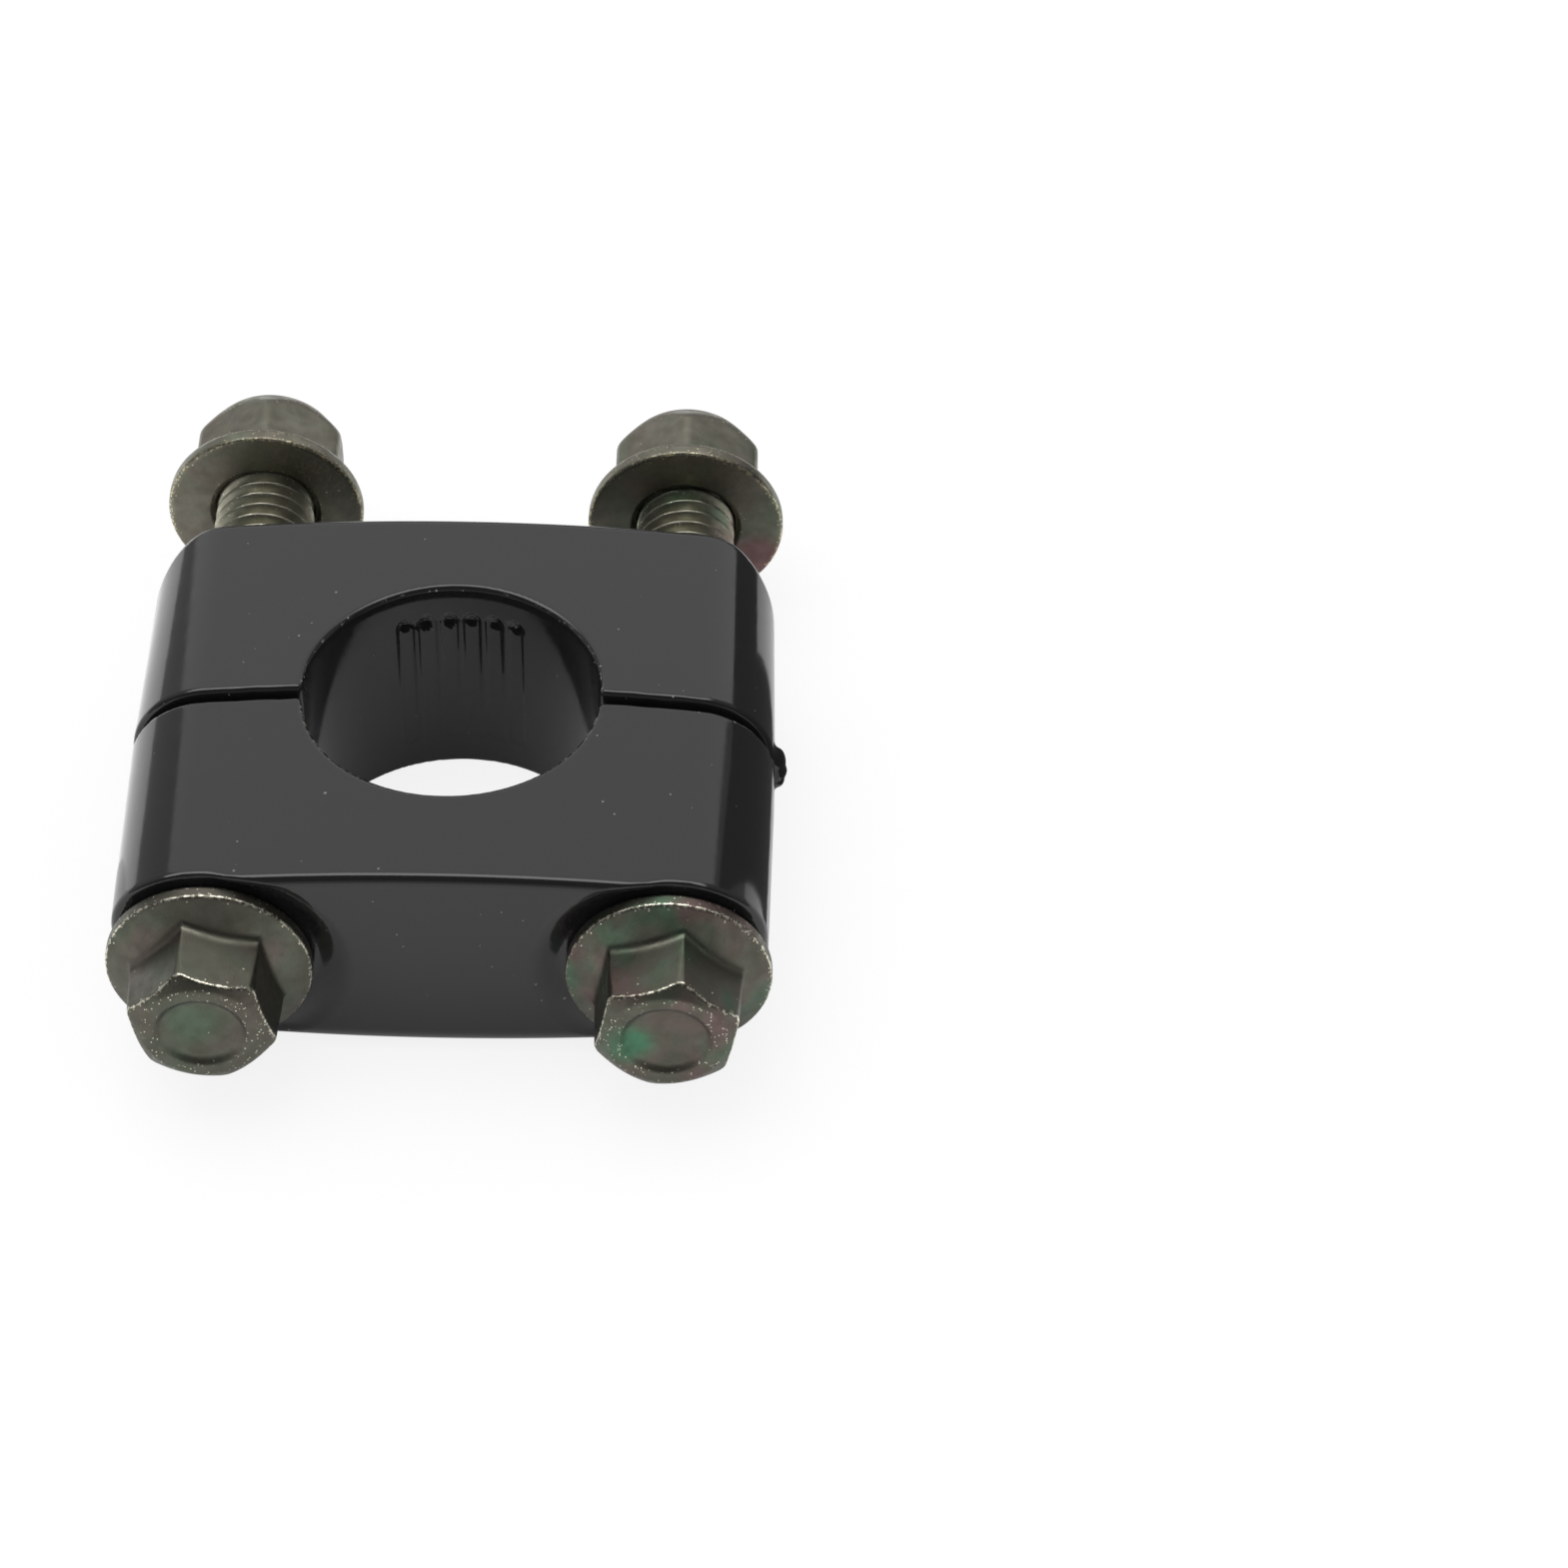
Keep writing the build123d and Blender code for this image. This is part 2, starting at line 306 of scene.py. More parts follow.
def base_field(p):
    """The painted base half, with the flutes in its bore and the paint run on its right."""
    x, y, z = p[:, 0], p[:, 1], p[:, 2]
    sides = drafted_sides(x, z, y)
    plan_side = (np.abs(x) - HALF_WIDTH + y * math.tan(DRAFT)) * math.cos(DRAFT)
    plan = rounded_meet(plan_side, y - BASE_REACH, FOOT_CORNER_RADIUS)
    near_foot = np.clip((y - BASE_REACH + FOOT_CORNER_RADIUS) / 3.0, 0.0, 1.0)
    off_middle = np.clip((np.abs(z) - 2.0) / 3.0, 0.0, 1.0)
    body = rounded_meet(sides, plan, FOOT_CORNER_ROUNDING * near_foot * off_middle)
    body = np.maximum(body, rounded_meet(sides, y - BASE_REACH, FOOT_ROUNDING))
    flare = np.clip((z - RIM_FLARE_START) / (HALF_THICKNESS - RIM_FLARE_START), 0.0, 1.2) ** 2
    flare = RIM_FLARE * flare * smooth_step(y / 4.0)
    bore = BORE_RADIUS + flare + flute_depth(x, y, z) - np.hypot(x, y)
    body = cut_joint_and_bore(p, body, -y, bore, 12)
    for centre in (-BOLT_X, BOLT_X):
        body = rounded_meet(body, HOLE_RADIUS - np.hypot(x - centre, z), HOLE_ROUNDING)
    return paint_run(p, chip(p, body))


def paint_run(p, body):
    """Adds the hardened drops of paint that hang off the right side at the split."""
    for centre, radius in PAINT_DROPS:
        body = soft_least(np.linalg.norm(p - np.array(centre), axis=1) - radius, body, PAINT_BLEND)
    return body


# Meshes over the fields

def field_change(field, points, step=0.01):
    """Change of the field along each axis, over a small step each way."""
    return np.stack([field(points + o) - field(points - o) for o in np.eye(3) * step], axis=1)


def settle_on(field, points, passes=8):
    """Moves each point along the field's slope until it lies on the surface."""
    for _ in range(passes):
        value = field(points)
        slope = field_change(field, points) / 0.02
        square = np.maximum((slope**2).sum(axis=1), 0.25)
        move = -(value / square)[:, None] * slope
        length = np.linalg.norm(move, axis=1)
        move *= np.minimum(1.0, 0.25 / np.maximum(length, 1e-9))[:, None]
        points = points + move
    return points


def grid_surface(field, low, high, cell):
    """Quads over a distance field's surface, one point for each grid cell that it crosses."""
    axes = [np.arange(a - cell, b + 2 * cell, cell) for a, b in zip(low, high)]
    shape = tuple(len(a) for a in axes)
    mesh_points = np.stack(np.meshgrid(*axes, indexing="ij"), axis=-1).reshape(-1, 3)
    value = field(mesh_points).reshape(shape)
    inside = value < 0
    cells = tuple(n - 1 for n in shape)
    total = np.zeros(cells)
    count = np.zeros(cells)
    place = np.zeros(cells + (3,))
    base = np.stack(np.meshgrid(*[np.arange(n) for n in cells], indexing="ij"), axis=-1)
    corners = [(i, j, k) for i in (0, 1) for j in (0, 1) for k in (0, 1)]

    def at(array, corner):
        return array[tuple(slice(c, c + n) for c, n in zip(corner, cells))]

    for corner in corners:
        total += at(inside, corner)
    for axis in range(3):
        for corner in corners:
            if corner[axis]:
                continue
            other = tuple(c + (1 if i == axis else 0) for i, c in enumerate(corner))
            v0, v1 = at(value, corner), at(value, other)
            crossed = (v0 < 0) != (v1 < 0)
            share = np.where(crossed, v0 / np.where(crossed, v0 - v1, 1.0), 0.0)
            local = np.array(corner, dtype=float) + base
            spot = local.copy()
            spot[..., axis] += share
            place += spot * crossed[..., None]
            count += crossed
    active = (total > 0) & (total < 8)
    index = np.full(cells, -1)
    index[active] = np.arange(active.sum())
    origin = np.array([a[0] for a in axes])
    points = origin + place[active] / count[active][:, None] * cell
    quads = []
    for axis in range(3):
        a, b = [i for i in range(3) if i != axis]
        if axis == 1:
            a, b = b, a
        lower = [slice(1, n - 1) for n in shape]
        lower[axis] = slice(0, shape[axis] - 1)
        upper = list(lower)
        upper[axis] = slice(1, shape[axis])
        first, second = inside[tuple(lower)], inside[tuple(upper)]
        for flip, where in ((False, first & ~second), (True, ~first & second)):
            spots = np.argwhere(where)
            spots[:, a] += 1
            spots[:, b] += 1
            around = []
            for da, db in ((-1, -1), (0, -1), (0, 0), (-1, 0)):
                near = spots.copy()
                near[:, a] += da
                near[:, b] += db
                around.append(index[near[:, 0], near[:, 1], near[:, 2]])
            quad = np.stack(around, axis=1)
            quads.append(quad[:, ::-1] if flip else quad)
    return points, np.concatenate(quads)


def field_slope(field, points):
    """Unit slope of the field, which is the surface's normal."""
    slope = field_change(field, points)
    return slope / np.maximum(np.linalg.norm(slope, axis=1), 1e-9)[:, None]


def even_out(field, points, quads, rounds=4):
    """Spreads the points evenly over the surface."""
    pairs = np.concatenate([quads[:, [0, 1]], quads[:, [1, 2]], quads[:, [2, 3]], quads[:, [3, 0]]])
    for _ in range(rounds):
        total = np.zeros_like(points)
        number = np.zeros(len(points))
        for a, b in ((0, 1), (1, 0)):
            np.add.at(total, pairs[:, a], points[pairs[:, b]])
            np.add.at(number, pairs[:, a], 1)
        shift = total / number[:, None] - points
        normal = field_slope(field, points)
        shift -= (shift * normal).sum(axis=1)[:, None] * normal
        points = settle_on(field, points + 0.5 * shift, passes=2)
    return points


def make_mesh(name, points, faces, normals=None, masks=None):
    """A mesh object in metres from points in millimetres."""
    mesh = bpy.data.meshes.new(name)
    mesh.from_pydata((points * MM).tolist(), [], faces)
    mesh.validate()
    mesh.polygons.foreach_set("use_smooth", np.ones(len(mesh.polygons), dtype=bool))
    for mask_name, values in (masks or {}).items():
        layer = mesh.attributes.new(mask_name, "FLOAT", "POINT")
        layer.data.foreach_set("value", values.astype(np.float32))
    if normals is not None:
        mesh.normals_split_custom_set_from_vertices(normals.tolist())
    mesh.update()
    piece = bpy.data.objects.new(name, mesh)
    bpy.context.scene.collection.objects.link(piece)
    return piece


# Turned pieces: a profile run round the axis of a bolt

def sector_angles(turn, per_side=34, gather=0.55):
    """Angles round a hexagon, closer together near its corners."""
    share = np.arange(per_side) / per_side
    local = share - gather * np.sin(2 * math.pi * share) / (2 * math.pi)
    return np.concatenate([turn + math.radians(60.0) * (side + local) for side in range(6)])


def from_flat(angles, turn):
    """Cosine of the angle between each direction and the nearest flat's own."""
    return np.cos(np.mod(angles - turn, math.radians(60.0)) - math.radians(30.0))


def head_side(angles, turn, height):
    """Distance from the axis to the bolt's head at a height: drafted, with worn corners."""
    flat = (HEAD_FLATS / 2 - height * HEAD_DRAFT) / from_flat(angles, turn)
    corner = HEAD_CORNERS / 2 - np.maximum(height - HEAD_FOOT, 0.0) * HEAD_CORNER_DRAFT
    return soft_least(flat, corner, 0.06)


def nut_side(angles, turn):
    """Distance from the axis to the nut's hexagon, whose corners are turned down."""
    flat = NUT_FLATS / 2 / from_flat(angles, turn)
    return soft_least(flat, np.full_like(angles, NUT_CORNERS / 2), 0.12)


def soft_profile(angles, corners, closed=False):
    """Samples a profile whose corners are rounded.

    Each corner is (radius from axis, height, rounding, samples to the next corner, edge value),
    where the edge value marks worn spots and painted highlights.
    """
    count = len(corners)
    flat = np.zeros(angles.shape)
    spots = [np.stack([flat + reach, flat + rise], axis=-1) for reach, rise, *_ in corners]
    ends = []
    for i, here in enumerate(spots):
        entry = leave = here
        if closed or 0 < i < count - 1:
            back = spots[i - 1] - here
            ahead = spots[(i + 1) % count] - here
            back_length = np.linalg.norm(back, axis=-1, keepdims=True)
            ahead_length = np.linalg.norm(ahead, axis=-1, keepdims=True)
            cut = np.minimum(corners[i][2], 0.45 * np.minimum(back_length, ahead_length))
            entry = here + back / np.maximum(back_length, 1e-9) * cut
            leave = here + ahead / np.maximum(ahead_length, 1e-9) * cut
        ends.append((entry, leave))
    rings, edge = [], []
    for i, (here, (entry, leave)) in enumerate(zip(spots, ends)):
        if closed or 0 < i < count - 1:
            for t in np.linspace(0.0, 1.0, 7):
                rings.append((1 - t) ** 2 * entry + 2 * t * (1 - t) * here + t**2 * leave)
                edge.append(corners[i][4] * (1 - abs(2 * t - 1)) ** 0.8)
        else:
            rings.append(here)
            edge.append(0.0)
        if closed or i < count - 1:
            target = ends[(i + 1) % count][0]
            number = corners[i][3]
            for step in range(1, number + 1):
                share = step / (number + 1)
                rings.append(leave * (1 - share) + target * share)
                edge.append(0.0)
    return np.stack(rings), np.array(edge)


def ring_faces(ring_count, around, closed):
    faces = []
    last = ring_count if closed else ring_count - 1
    first = np.arange(around)
    following = (first + 1) % around
    for ring in range(last):
        a = ring * around
        b = ((ring + 1) % ring_count) * around
        faces.append(np.stack([a + first, a + following, b + following, b + first], axis=1))
    return np.concatenate(faces)


def thread_reach(angles, height):
    """Radius of the right-hand thread at each angle and height, cut deeper over its run-out."""
    turn = np.mod((height + angles / (2 * math.pi) * THREAD_PITCH) / THREAD_PITCH, 1.0)
    from_crest = np.abs(turn - 0.5) * THREAD_PITCH
    flank = np.clip((from_crest - THREAD_PITCH / 16) * math.sqrt(3.0), 0.0, THREAD_DEPTH)
    cut = soft_least(flank, np.full_like(flank, THREAD_DEPTH), 0.1)
    cut = np.maximum(cut, 0.0) * np.clip((height - THREAD_START) / THREAD_RUN_OUT, 0.0, 1.0)
    point = np.maximum(height - (BOLT_LENGTH - 1.0), 0.0)
    return np.minimum(SHANK_RADIUS - cut, SHANK_RADIUS - point + 0.05)


def turned_object(name, centre_x, base_y, direction, angles, rings, mask, closed):
    """Object from rings of (radius, height) samples, with a pole at each open end."""
    reach, rise = rings[..., 0], rings[..., 1]
    x, z = centre_x + reach * np.cos(angles), reach * np.sin(angles)
    points = np.stack([x, base_y + direction * rise, z], axis=-1)
    ring_count, around = reach.shape
    mask = spread_marks(points, mask, closed)
    if closed:
        flat, edge = points.reshape(-1, 3), mask.reshape(-1)
        faces = ring_faces(ring_count, around, True).tolist()
    else:
        inner = ring_count - 2
        poles = [points[0].mean(axis=0), points[-1].mean(axis=0)]
        flat = np.concatenate([points[1:-1].reshape(-1, 3), poles])
        edge = np.concatenate([mask[1:-1].reshape(-1), [0.0, 0.0]])
        faces = ring_faces(inner, around, False).tolist()
        first_pole = inner * around
        offset = first_pole - around
        for i in range(around):
            following = (i + 1) % around
            faces.append([first_pole, following, i])
            faces.append([first_pole + 1, offset + i, offset + following])
    return make_mesh(name, flat, orient_outwards(flat, faces), masks={"edge": edge})


def spread_marks(points, mask, closed, reach=0.2):
    """Lets the edge marks fade out over the neighbouring rings."""
    spread = mask.copy()
    for step in range(1, 9):
        for shift in (step, -step):
            away = np.linalg.norm(points - np.roll(points, shift, axis=0), axis=-1)
            share = np.roll(mask, shift, axis=0) * np.exp(-((away / reach) ** 2))
            if not closed:
                wrapped = slice(0, shift) if shift > 0 else slice(shift, None)
                share[wrapped] = 0.0
            spread = np.maximum(spread, share)
    return spread


def orient_outwards(points, faces):
    """Turns the faces round if they look inwards, judged by the volume that they enclose."""
    triangles = np.array([face[:3] for face in faces])
    a, b, c = (points[triangles[:, i]] for i in range(3))
    if np.einsum("ij,ij->i", a, np.cross(b, c)).sum() < 0:
        faces = [face[::-1] for face in faces]
    return faces


def build_bolt(name, centre_x, turn):
    """A flange bolt, turned from its end's recess to the tip of its thread."""
    angles = sector_angles(turn)
    corner_top = HEAD_HEIGHT - HEAD_CHAMFER_DEPTH
    worn_reach = HEAD_CORNERS / 2 - (corner_top - HEAD_FOOT) * HEAD_CORNER_DRAFT
    chamfer_rise = HEAD_CHAMFER_DEPTH / (worn_reach - HEAD_END_RADIUS)
    upper = head_side(angles, turn, corner_top)
    shoulder = HEAD_HEIGHT - (upper - HEAD_END_RADIUS) * chamfer_rise
    rim_top = FLANGE_RELIEF + FLANGE_RIM
    lower = head_side(angles, turn, HEAD_FOOT)
    foot = rim_top + (FLANGE_RADIUS - lower) * CONE_RISE
    cosine = from_flat(angles, turn)
    corner_start = HEAD_CORNERS / 2 + HEAD_FOOT * HEAD_CORNER_DRAFT
    meeting = (corner_start - HEAD_FLATS / 2 / cosine) / (HEAD_CORNER_DRAFT - HEAD_DRAFT / cosine)
    meeting = np.clip(meeting, foot + 1.0, shoulder - 1.0)
    ridge = head_side(angles, turn, meeting)
    # The last column marks the edges for worn spots and painted highlights.
    corners = [
        (0.0, HEAD_HEIGHT - RECESS_DEPTH, 0.0, 8, 0.0),
        (RECESS_RADIUS - RECESS_SLOPE, HEAD_HEIGHT - RECESS_DEPTH, 0.3, 4, 0.0),
        (RECESS_RADIUS, HEAD_HEIGHT, 0.22, 4, 0.42),
        (HEAD_END_RADIUS, HEAD_HEIGHT, 0.25, 5, 0.5),
        (upper, shoulder, 0.2, 12, 1.0),
        (ridge, meeting, 0.1, 12, 0.0),
        (lower, foot, 0.6, 10, 0.0),
        (FLANGE_RADIUS, rim_top, 0.22, 4, 1.0),
        (FLANGE_RADIUS, FLANGE_RELIEF, 0.22, 4, 0.6),
        (BEARING_RADIUS, 0.0, 0.2, 8, 0.2),
        (SHANK_RADIUS, 0.0, 0.1, 30, 0.0),
        (SHANK_RADIUS, -THREAD_START, 0.0, 0, 0.0),
    ]
    rings, edge = soft_profile(angles, corners)
    mask = np.repeat(edge[:, None], len(angles), axis=1)
    heights = np.arange(THREAD_START, BOLT_LENGTH + 0.001, 0.1)
    grid_angles, grid_heights = np.meshgrid(angles, heights)
    crest = thread_reach(grid_angles, grid_heights)
    thread = np.stack([crest, -grid_heights], axis=-1)[1:]
    # The thread's crests are marked for worn spots and painted highlights.
    crest_edge = np.clip((crest[1:] - SHANK_RADIUS + 0.2) / 0.2, 0.0, 1.0) * 0.45
    tip = [np.stack([crest[-1] * share, np.full_like(crest[-1], -BOLT_LENGTH - drop)], axis=-1)
           for share, drop in ((0.96, 0.06), (0.8, 0.08), (0.5, 0.08), (0.2, 0.08), (0.0, 0.08))]
    rings = np.concatenate([rings, thread, np.stack(tip)])
    mask = np.concatenate([mask, crest_edge, np.zeros((len(tip), len(angles)))])
    return turned_object(name, centre_x, BEARING_Y, -1.0, angles, rings, mask, closed=False)


def build_nut(name, centre_x, bearing_y, turn):
    """A flange nut with its chamfered bore."""
    angles = sector_angles(turn)
    side = nut_side(angles, turn)
    shoulder = NUT_HEIGHT - (side - NUT_END_RADIUS) * NUT_CHAMFER_RISE
    foot = NUT_FLANGE_RIM + (NUT_FLANGE_RADIUS - side) * CONE_RISE
    sink = NUT_COUNTERSINK_RADIUS - NUT_BORE_RADIUS
    # The last column marks the edges for worn spots and painted highlights; the flange's rims most.
    corners = [
        (NUT_BORE_RADIUS, sink, 0.12, 24, 0.2),
        (NUT_BORE_RADIUS, NUT_HEIGHT - sink, 0.12, 3, 0.3),
        (NUT_COUNTERSINK_RADIUS, NUT_HEIGHT, 0.08, 2, 0.6),
        (NUT_END_RADIUS, NUT_HEIGHT, 0.3, 6, 0.4),
        (side, shoulder, 0.6, 20, 0.35),
        (side, foot, 0.45, 10, 0.0),
        (NUT_FLANGE_RADIUS, NUT_FLANGE_RIM, 0.45, 4, 0.8),
        (NUT_FLANGE_RADIUS, 0.0, 0.35, 14, 0.9),
        (NUT_COUNTERSINK_RADIUS, 0.0, 0.12, 3, 0.5),
    ]
    rings, edge = soft_profile(angles, corners, closed=True)
    mask = np.repeat(edge[:, None], len(angles), axis=1)
    return turned_object(name, centre_x, bearing_y, 1.0, angles, rings, mask, closed=True)


# Shader node groups and materials

SOCKET_KINDS = {1: "NodeSocketFloat", 3: "NodeSocketVector", 4: "NodeSocketColor"}
GROUPS = {}


def new_group(name, inputs, output, output_size=1):
    """New node group, with the sockets of its given values and the socket of its result."""
    tree = bpy.data.node_groups.new(name, "ShaderNodeTree")
    for socket_name, default in inputs.items():
        size = len(default) if isinstance(default, tuple) else 1
        socket = tree.interface.new_socket(
            name=socket_name, in_out="INPUT", socket_type=SOCKET_KINDS[size])
        socket.default_value = default
    tree.interface.new_socket(
        name=output, in_out="OUTPUT", socket_type=SOCKET_KINDS[output_size])
    given = tree.nodes.new("NodeGroupInput").outputs
    return tree, given, tree.nodes.new("NodeGroupOutput").inputs[0]


def set_input(tree, socket, value):
    """Links the socket where the value is a socket too, or else sets it."""
    if isinstance(value, bpy.types.NodeSocket):
        tree.links.new(value, socket)
    elif socket.type == "RGBA":
        socket.default_value = (*value[:3], 1.0)
    else:
        socket.default_value = value


def add_node(tree, kind, settings=None, **values):
    """A node with its properties and inputs set; i0 and i1 are inputs by number."""
    node = tree.nodes.new(kind)
    for key, value in (settings or {}).items():
        setattr(node, key, value)
    for key, value in values.items():
        name = int(key[1:]) if key[0] == "i" and key[1:].isdigit() else key.replace("_", " ")
        set_input(tree, node.inputs[name], value)
    return node


def place_group(tree, maker, **values):
    """Output of a node that holds the maker's group, which is built only once."""
    if maker not in GROUPS:
        GROUPS[maker] = maker()
    return add_node(tree, "ShaderNodeGroup", {"node_tree": GROUPS[maker]}, **values).outputs[0]


def maths(tree, operation, a, b=0.0, clamp=False):
    settings = {"operation": operation, "use_clamp": clamp}
    return add_node(tree, "ShaderNodeMath", settings, i0=a, i1=b).outputs[0]


def times(tree, a, b):
    return maths(tree, "MULTIPLY", a, b)


def vector_maths(tree, operation, a, b):
    return add_node(tree, "ShaderNodeVectorMath", {"operation": operation}, i0=a, i1=b)


def ramp(tree, value, low, high, to_low=0.0, to_high=1.0):
    node = add_node(
        tree, "ShaderNodeMapRange", {"interpolation_type": "SMOOTHSTEP"},
        Value=value, From_Min=low, From_Max=high, To_Min=to_low, To_Max=to_high,
    )
    return node.outputs["Result"]


def mix_colour(tree, share, a, b):
    node = add_node(tree, "ShaderNodeMix", {"data_type": "RGBA"})
    sockets = {socket.identifier: socket for socket in node.inputs}
    for identifier, value in (("Factor_Float", share), ("A_Color", a), ("B_Color", b)):
        set_input(tree, sockets[identifier], value)
    return next(socket for socket in node.outputs if socket.identifier == "Result_Color")


def own_place(tree):
    """The piece's own coordinates in metres."""
    return tree.nodes.new("ShaderNodeTexCoord").outputs["Object"]


def millimetre_place(tree, seed=(0.0, 0.0, 0.0)):
    """The piece's own coordinates in millimetres, moved by a seed."""
    scaled = add_node(
        tree, "ShaderNodeVectorMath", {"operation": "SCALE"}, i0=own_place(tree), Scale=1.0 / MM)
    return vector_maths(tree, "ADD", scaled.outputs[0], seed).outputs[0]


def noise(tree, place, size, detail):
    """Noise whose waves have this size in millimetres."""
    scale = maths(tree, "DIVIDE", 1.0, size)
    return add_node(tree, "ShaderNodeTexNoise", Vector=place, Detail=detail, Scale=scale).outputs[0]


def cells(tree, place, size):
    """Cells of this size in millimetres: distance to the middle, and two random values of each."""
    scale = maths(tree, "DIVIDE", 1.0, size)
    node = add_node(tree, "ShaderNodeTexVoronoi", Vector=place, Scale=scale)
    split = add_node(tree, "ShaderNodeSeparateColor", Color=node.outputs["Color"])
    return node.outputs["Distance"], split.outputs[0], split.outputs[1]


def ripple_group():
    """Slow and fine waves of a sprayed or plated surface."""
    tree, given, result = new_group(
        "surface_ripple",
        {"Seed": (0, 0, 0), "Wave": 2.0, "Grain": 0.3, "Grain Share": 0.3}, "Height")
    place = millimetre_place(tree, given["Seed"])
    slow = noise(tree, place, given["Wave"], 1.0)
    fine = times(tree, noise(tree, place, given["Grain"], 2.0), given["Grain Share"])
    tree.links.new(maths(tree, "ADD", slow, fine), result)
    return tree


def speck_group():
    """Dust and pinholes: small round spots scattered over the surface."""
    tree, given, result = new_group(
        "scattered_specks", {"Seed": (0, 0, 0), "Spacing": 1.5, "Size": 0.1, "Amount": 0.3}, "Mask")
    away, choice, width = cells(tree, millimetre_place(tree, given["Seed"]), given["Spacing"])
    radius = times(tree, given["Size"], maths(tree, "ADD", width, 0.25))
    spot = ramp(tree, maths(tree, "DIVIDE", away, radius), 1.0, 0.5)
    kept = maths(tree, "LESS_THAN", choice, given["Amount"])
    tree.links.new(times(tree, spot, kept), result)
    return tree


def wear_and_highlight_group():
    """Broken line of wear and painted highlight along the edges that the mesh marks."""
    tree, given, result = new_group(
        "edge_wear_and_highlight",
        {"Seed": (0, 0, 0), "Edge": 0.0, "Break Up": 0.5, "Spot Spacing": 0.2, "Spot Share": 0.5,
         "Amount": 0.5},
        "Mask")
    place, edge = millimetre_place(tree, given["Seed"]), given["Edge"]
    uneven = maths(tree, "SUBTRACT", noise(tree, place, given["Break Up"], 3.0), 0.5)
    level = maths(tree, "ADD", times(tree, edge, given["Amount"]), uneven)
    raised = times(tree, ramp(tree, level, 0.32, 0.55), edge)
    away, choice, _ = cells(tree, place, given["Spot Spacing"])
    kept = maths(tree, "LESS_THAN", choice, times(tree, edge, given["Spot Share"]))
    spot = times(tree, ramp(tree, away, 0.46, 0.26), kept)
    tree.links.new(maths(tree, "MAXIMUM", raised, spot), result)
    return tree


def scuff_group():
    """Fine short scratches in crossing directions."""
    tree, given, result = new_group(
        "fine_scuffs", {"Seed": (0, 0, 0), "Length": 2.0, "Amount": 0.3}, "Mask")
    place = millimetre_place(tree, given["Seed"])
    limit = maths(tree, "SUBTRACT", 0.8, times(tree, given["Amount"], 0.2))
    total = 0.0
    for turn in ((0.4, 0.9, 0.2), (1.7, 0.3, 1.1), (2.6, 1.4, 0.5)):
        turned = add_node(
            tree, "ShaderNodeVectorRotate", {"rotation_type": "EULER_XYZ"},
            Vector=place, Rotation=turn)
        stretched = vector_maths(tree, "MULTIPLY", turned.outputs[0], (1.0, 14.0, 14.0)).outputs[0]
        line = maths(tree, "GREATER_THAN", noise(tree, stretched, given["Length"], 0.0), limit)
        total = maths(tree, "MAXIMUM", total, line)
    tree.links.new(total, result)
    return tree


def tint_group():
    """Plating colour that drifts between two tints, stronger round one spot."""
    tree, given, result = new_group(
        "plating_tint",
        {"Seed": (0, 0, 0), "Base": (0.3, 0.3, 0.26, 1), "Warm": (0.4, 0.3, 0.3, 1),
         "Cool": (0.3, 0.4, 0.3, 1), "Patch": 3.0, "Strength": 0.3, "Spot": (0, 0, 0),
         "Spot Reach": 4.0, "Spot Strength": 0.5, "Spot Cool": 1.0},
        "Color", output_size=4)
    place = millimetre_place(tree, given["Seed"])
    drift = noise(tree, place, given["Patch"], 2.0)
    shifted = vector_maths(tree, "ADD", place, (31.0, 7.0, 13.0)).outputs[0]
    side = ramp(tree, noise(tree, shifted, given["Patch"], 1.0), 0.4, 0.6)
    away = vector_maths(tree, "DISTANCE", millimetre_place(tree), given["Spot"]).outputs["Value"]
    near = ramp(tree, maths(tree, "DIVIDE", away, given["Spot Reach"]), 1.0, 0.2)
    share = maths(tree, "MAXIMUM", times(tree, ramp(tree, drift, 0.36, 0.66), given["Strength"]),
                  times(tree, near, given["Spot Strength"]), clamp=True)
    pull = times(tree, near, maths(tree, "SUBTRACT", given["Spot Cool"], side))
    tint = mix_colour(tree, maths(tree, "ADD", side, pull), given["Warm"], given["Cool"])
    tree.links.new(mix_colour(tree, share, given["Base"], tint), result)
    return tree


def new_material(name):
    material = bpy.data.materials.new(name)
    material.use_nodes = True
    tree = material.node_tree
    return material, tree, tree.nodes["Principled BSDF"]


def edge_value(tree):
    return add_node(tree, "ShaderNodeAttribute", {"attribute_name": "edge"}).outputs["Fac"]


def set_surface(tree, shader, colour, rough, height, strength, depth):
    """Colour and roughness of the shader, and a bump of this depth in millimetres."""
    bump = add_node(tree, "ShaderNodeBump", Strength=strength, Distance=depth * MM, Height=height)
    tree.links.new(colour, shader.inputs["Base Color"])
    tree.links.new(rough, shader.inputs["Roughness"])
    tree.links.new(bump.outputs["Normal"], shader.inputs["Normal"])


